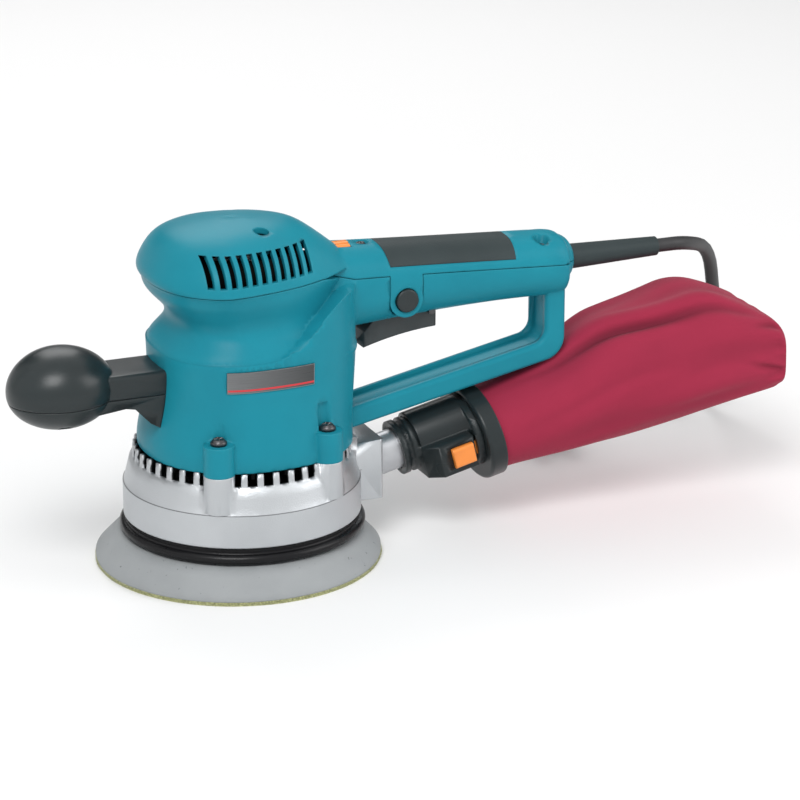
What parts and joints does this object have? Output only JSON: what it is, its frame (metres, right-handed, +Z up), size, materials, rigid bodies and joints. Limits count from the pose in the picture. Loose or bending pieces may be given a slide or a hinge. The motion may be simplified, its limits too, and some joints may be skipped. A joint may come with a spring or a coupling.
{
  "type": "random orbital sander",
  "caption": "Electric random orbital sander with a D-handle, a front knob, a round pad on an eccentric hub, a finger trigger and a cloth dust bag on an angled outlet.",
  "frame": {"origin": "foot of the motor axis, on the plane of the pad's working face", "axes": "+Z up along the motor axis, +X towards the rear handle and the dust bag, the front knob towards -X"},
  "size_m": [0.4617, 0.2979, 0.1838],
  "materials": {
    "cover_teal": "fine-grained moulded plastic",
    "grip_rubber": "soft moulded rubber",
    "plate_silver": "satin silver print",
    "cast_silver": "satin silver paint on a casting",
    "skirt_rubber": "moulded rubber",
    "steel": "machined steel",
    "knob_grey": "fine-grained moulded plastic",
    "hook": "hook fabric",
    "foam": "closed-cell foam with a smooth skin",
    "plate_alloy": "stamped alloy",
    "hub_alloy": "die-cast alloy",
    "fan_plastic": "moulded plastic",
    "lamination": "stacked sheet steel",
    "copper": "varnished copper wire",
    "brass": "drawn brass",
    "carbon": "pressed carbon",
    "body_black": "fine-grained moulded plastic",
    "tube_black": "smooth moulded plastic",
    "orange": "semi-gloss moulded plastic",
    "bag_cloth": "woven cloth",
    "cord_rubber": "matt rubber sheath",
    "pin_metal": "plated metal"
  },
  "bodies": {
    "housing": {"upper_cover": "cover_teal", "motor_housing": "cover_teal", "handle_grip": "grip_rubber", "nameplate": "plate_silver", "base_housing": "cast_silver", "pad_skirt": "skirt_rubber", "housing_screws": "steel", "cover_screws": "steel", "front_grip_upper": "knob_grey", "front_grip_lower": "knob_grey", "front_grip_bolt": "steel", "grip_screws": "steel", "lower_bearing": "steel", "upper_bearing": "steel", "bearing_bracket": "fan_plastic", "stator_core": "lamination", "field_windings": "copper", "brush_holders": "brass", "carbon_brushes": "carbon", "trigger_pin": "steel", "switch_body": "fan_plastic", "speed_controller": "fan_plastic", "cord_clamp": "fan_plastic", "dust_nozzle": "cast_silver", "cord_guard": "grip_rubber", "power_cord": "cord_rubber", "cord_coil": "cord_rubber", "cord_tie": "cord_rubber", "plug_body": "cord_rubber", "plug_pins": "pin_metal"},
    "rotor": {"armature_shaft": "steel", "armature_core": "lamination", "armature_windings": "copper", "commutator": "copper", "cooling_fan": "fan_plastic", "orbit_hub": "hub_alloy", "dust_fan": "fan_plastic", "pad_bearings": "steel"},
    "pad": {"hook_face": "hook", "pad_foam": "foam", "pad_plate": "plate_alloy", "pad_bolt": "steel", "pad_spindle": "steel"},
    "trigger_lever": {"trigger": "body_black"},
    "button": {"lock_button": "tube_black"},
    "dial": {"speed_dial": "orange"},
    "connector": {"dust_connector": "tube_black"},
    "near_latch": {"bag_latch_near": "orange"},
    "far_latch": {"bag_latch_far": "orange"},
    "bag": {"bag_frame": "tube_black", "dust_bag": "bag_cloth"}
  },
  "joints": [
    {"name": "rotor_spin", "type": "hinge", "parent": "housing", "child": "rotor", "pos_m": [0, 0, 0.05], "axis": [0, 0, 1], "continuous": true},
    {"name": "pad_spin", "type": "hinge", "parent": "rotor", "child": "pad", "pos_m": [-0.0025, 0, 0.01], "axis": [0, 0, 1], "continuous": true},
    {"name": "trigger_pull", "type": "hinge", "parent": "housing", "child": "trigger_lever", "pos_m": [0.1035, 0, 0.1236], "axis": [0, 1, 0], "range_deg": [0, 7], "stiffness_Nm_per_rad": 1.6},
    {"name": "lock_button_press", "type": "slide", "parent": "housing", "child": "button", "axis": [0, 1, 0], "range_m": [0, 0.0025], "stiffness_N_per_m": 900},
    {"name": "speed_dial_turn", "type": "hinge", "parent": "housing", "child": "dial", "pos_m": [0.0558, 0, 0.15364], "axis": [1, 0, 0], "range_deg": [0, 240]},
    {"name": "connector_pull_off", "type": "slide", "parent": "housing", "child": "connector", "axis": [0.9728, 0, 0.2317], "range_m": [0, 0.028]},
    {"name": "near_latch_press", "type": "slide", "parent": "connector", "child": "near_latch", "axis": [0, 1, 0], "range_m": [0, 0.003], "stiffness_N_per_m": 700},
    {"name": "far_latch_press", "type": "slide", "parent": "connector", "child": "far_latch", "axis": [0, -1, 0], "range_m": [0, 0.003], "stiffness_N_per_m": 700},
    {"name": "bag_pull_off", "type": "slide", "parent": "connector", "child": "bag", "axis": [0.9728, 0, 0.2317], "range_m": [0, 0.03]}
  ]
}
